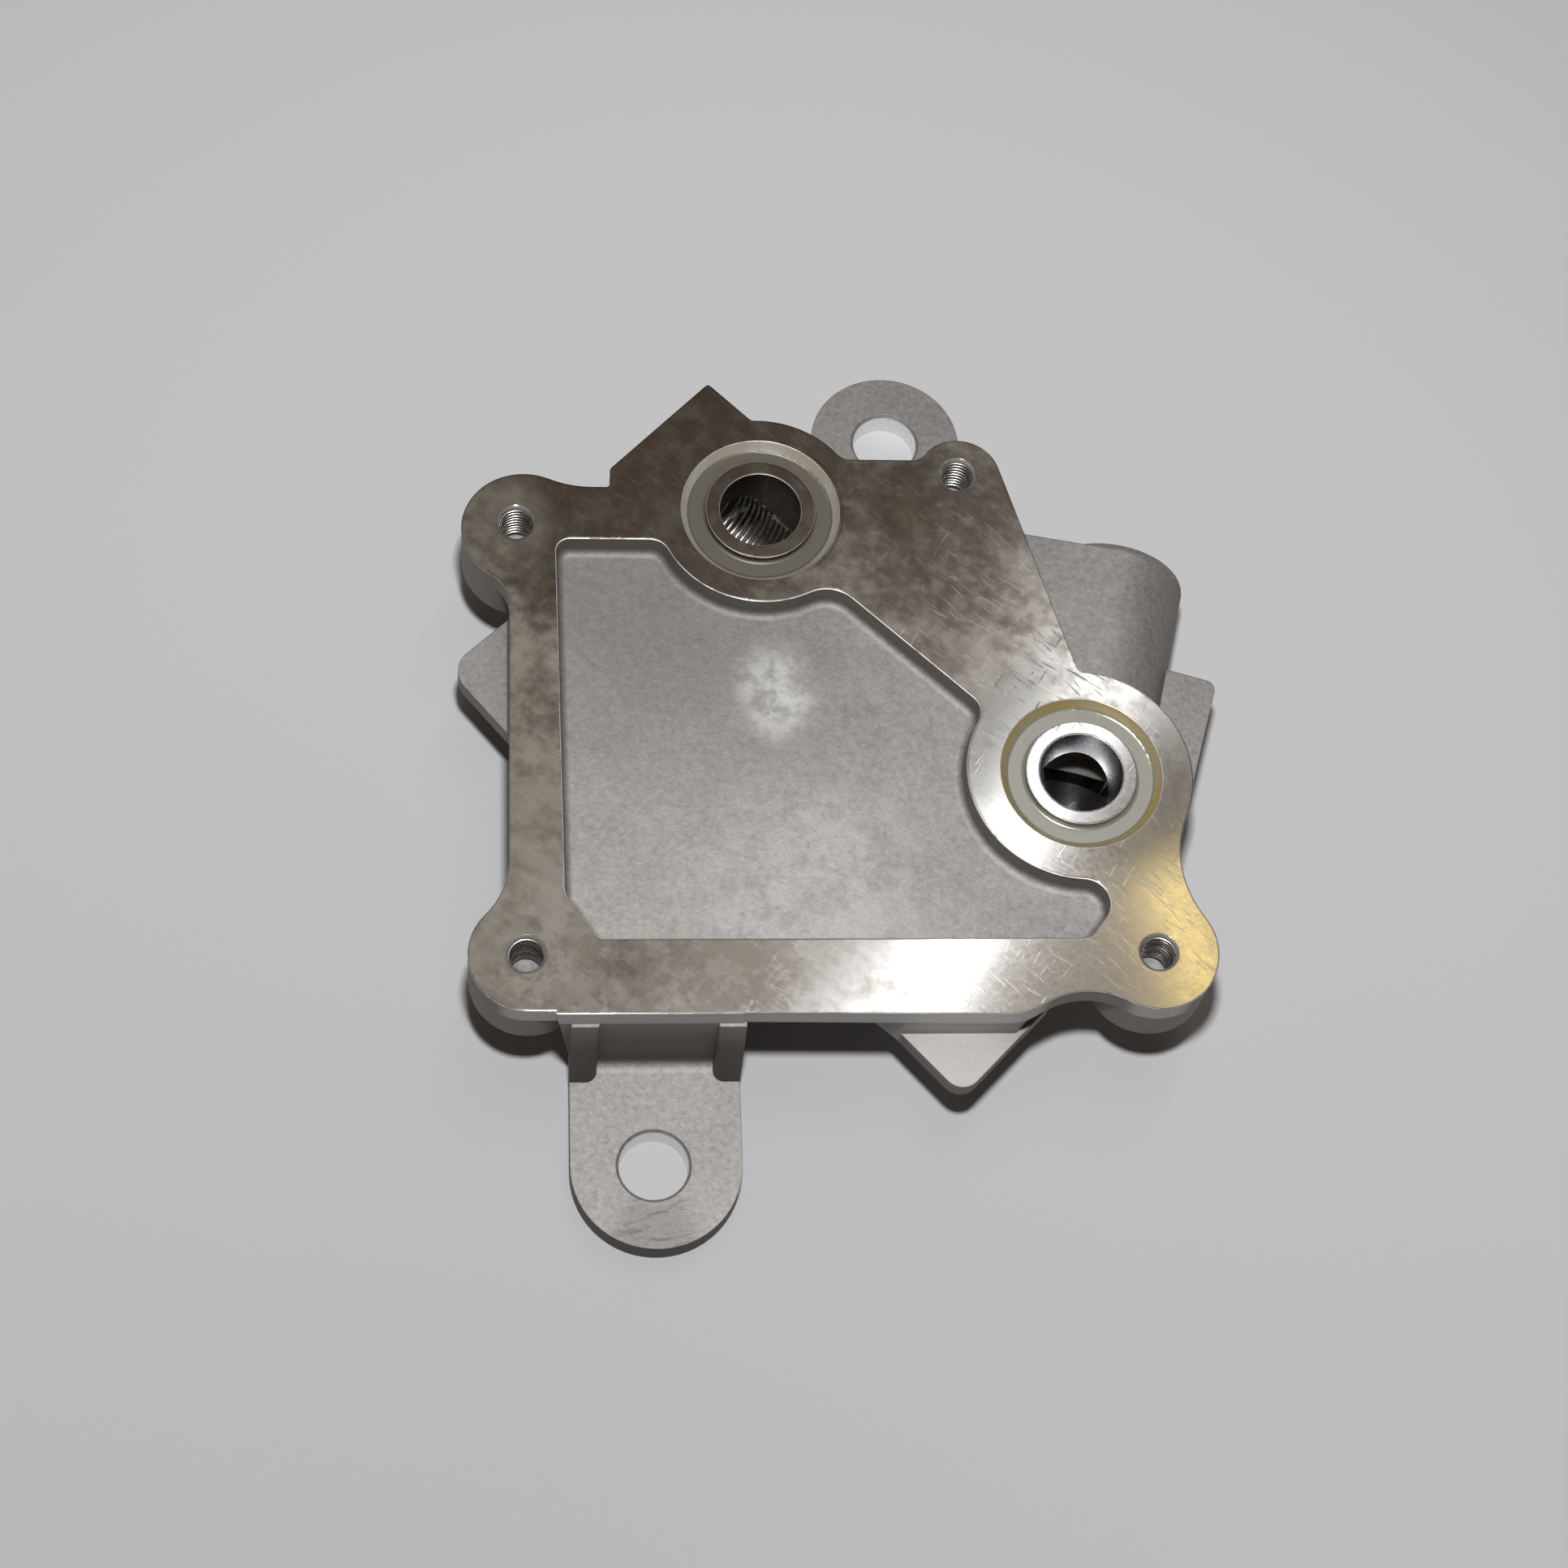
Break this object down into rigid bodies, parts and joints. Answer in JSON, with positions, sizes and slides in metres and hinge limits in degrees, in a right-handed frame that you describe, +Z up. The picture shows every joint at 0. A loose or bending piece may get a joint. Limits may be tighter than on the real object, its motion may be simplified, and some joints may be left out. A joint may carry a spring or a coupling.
{
  "type": "oil cooler base",
  "caption": "Cast aluminium base that carries an oil cooler on a milled flange, with seal-grooved oil ports, tapped lobes, side hose ports and two dropped mounting ears.",
  "frame": {"origin": "axis of the front ear's hole, on the plane that both ears stand on", "axes": "+Z up, square to the milled face; +X along the flange's front edge to the right; +Y away to the rear ear"},
  "size_m": [0.1803, 0.2276, 0.038],
  "materials": {
    "cast_aluminium": "as cast and fine grained, with a milled and stained top face"
  },
  "bodies": {
    "root": {"oil_cooler_base": "cast_aluminium"}
  },
  "joints": []
}
